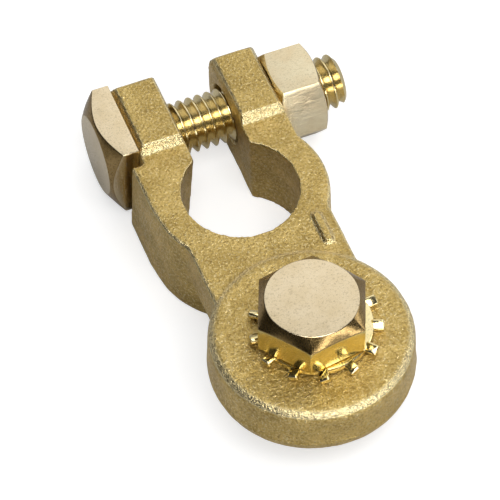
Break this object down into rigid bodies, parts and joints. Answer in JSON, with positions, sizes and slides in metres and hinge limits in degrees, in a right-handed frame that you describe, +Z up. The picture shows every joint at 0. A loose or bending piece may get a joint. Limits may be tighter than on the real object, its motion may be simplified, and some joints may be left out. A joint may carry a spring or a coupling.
{
  "type": "battery post ground clamp",
  "caption": "Cast-brass ground clamp: a split ring drawn onto a battery post by a pinch bolt, with a round pad, bolt and toothed washer for the ground cable's lug.",
  "frame": {"origin": "on the axis of the post bore, on the face that the ring stands on", "axes": "+Z up along the post bore, +X along the pinch bolt towards its nut, -Y towards the cable pad"},
  "size_m": [0.037, 0.0648, 0.0215],
  "materials": {
    "cast_brass": "tumbled casting, satin, fine sand grain",
    "turned_brass": "bright drawn and turned, lightly scratched",
    "spring_brass": "polished stamping"
  },
  "bodies": {
    "clamp": {"clamp_body": "cast_brass"},
    "pinch_bolt": {"pinch_bolt": "turned_brass"},
    "pinch_nut": {"pinch_nut": "turned_brass"},
    "lock_washer": {"lock_washer": "spring_brass"},
    "cable_bolt": {"cable_bolt": "turned_brass"}
  },
  "joints": [
    {"name": "nut_spin", "type": "hinge", "parent": "clamp", "child": "pinch_nut", "pos_m": [0.0109, 0.0171, 0.00805], "axis": [1, 0, 0], "range_deg": [0, 990]},
    {"name": "pinch_bolt_slide", "type": "slide", "parent": "clamp", "child": "pinch_bolt", "axis": [-1, 0, 0], "range_m": [0, 0.00388]},
    {"name": "washer_lift", "type": "slide", "parent": "clamp", "child": "lock_washer", "axis": [0, 0, 1], "range_m": [0, 0.0095]},
    {"name": "cable_bolt_spin", "type": "hinge", "parent": "lock_washer", "child": "cable_bolt", "pos_m": [0, -0.0262, 0.0155], "axis": [0, 0, 1], "range_deg": [0, 2160]}
  ],
  "couplings": [
    {"joint": "nut_spin", "follows": "pinch_bolt_slide", "rad_per_m": 4452.7},
    {"joint": "cable_bolt_spin", "follows": "washer_lift", "rad_per_m": 3957.9}
  ]
}
